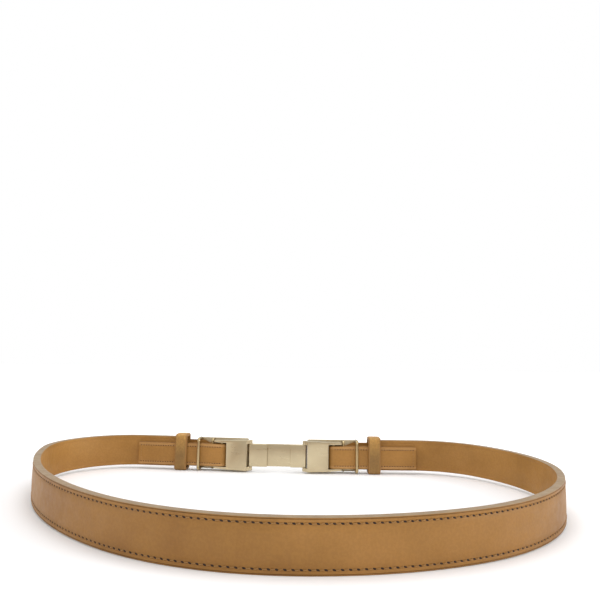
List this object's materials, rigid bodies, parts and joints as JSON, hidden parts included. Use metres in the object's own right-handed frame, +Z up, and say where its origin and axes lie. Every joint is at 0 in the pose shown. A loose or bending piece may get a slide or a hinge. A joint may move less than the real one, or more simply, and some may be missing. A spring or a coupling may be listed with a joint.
{
  "type": "link clasp belt",
  "caption": "Narrow leather waist belt closed in a loop on its edge, with stitched tails, leather keepers and a metal link clasp that swings open.",
  "frame": {"origin": "on the floor, under the middle of the closed belt's bounding box", "axes": "+X along the clasp from the latch frame to the hinge frame, +Y away from the wearer at the clasp, +Z up across the strap's width"},
  "size_m": [0.2974, 0.1946, 0.0245],
  "materials": {
    "grain_leather": "smooth tan leather with painted edges",
    "core_leather": "split leather",
    "lining_leather": "plain tan lining leather",
    "keeper_leather": "tan leather, slightly worn",
    "thread": "waxed thread",
    "pale_gold_metal": "satin pale gold plate"
  },
  "bodies": {
    "belt": {"grain_leather": "grain_leather", "core_leather": "core_leather", "lining_leather": "lining_leather", "top_thread": "thread", "bottom_thread": "thread", "left_end_lining": "lining_leather", "left_tail_thread": "thread", "left_face_plate": "pale_gold_metal", "left_back_box": "pale_gold_metal", "left_inner_staple": "pale_gold_metal", "left_outer_staple": "pale_gold_metal", "left_fold_bar": "pale_gold_metal", "right_end_lining": "lining_leather", "right_tail_thread": "thread", "right_face_plate": "pale_gold_metal", "right_back_box": "pale_gold_metal", "right_inner_staple": "pale_gold_metal", "right_outer_staple": "pale_gold_metal", "right_fold_bar": "pale_gold_metal", "hinge_pin": "pale_gold_metal"},
    "link": {"link_plate": "pale_gold_metal", "latch_bar": "pale_gold_metal"},
    "left_keeper": {"left_keeper": "keeper_leather", "left_keeper_seam": "thread"},
    "right_keeper": {"right_keeper": "keeper_leather", "right_keeper_seam": "thread"}
  },
  "joints": [
    {"name": "link_hinge", "type": "hinge", "parent": "belt", "child": "link", "pos_m": [0.01094, 0.08844, 0.0112], "axis": [0, 0.0118, -0.9999], "range_deg": [0, 85]},
    {"name": "left_keeper_slide", "type": "slide", "parent": "belt", "child": "left_keeper", "axis": [-0.9983, 0.0584, 0.0007], "range_m": [-0.006, 0.024]},
    {"name": "right_keeper_slide", "type": "slide", "parent": "belt", "child": "right_keeper", "axis": [0.9983, 0.0584, 0.0007], "range_m": [-0.0055, 0.022]}
  ]
}
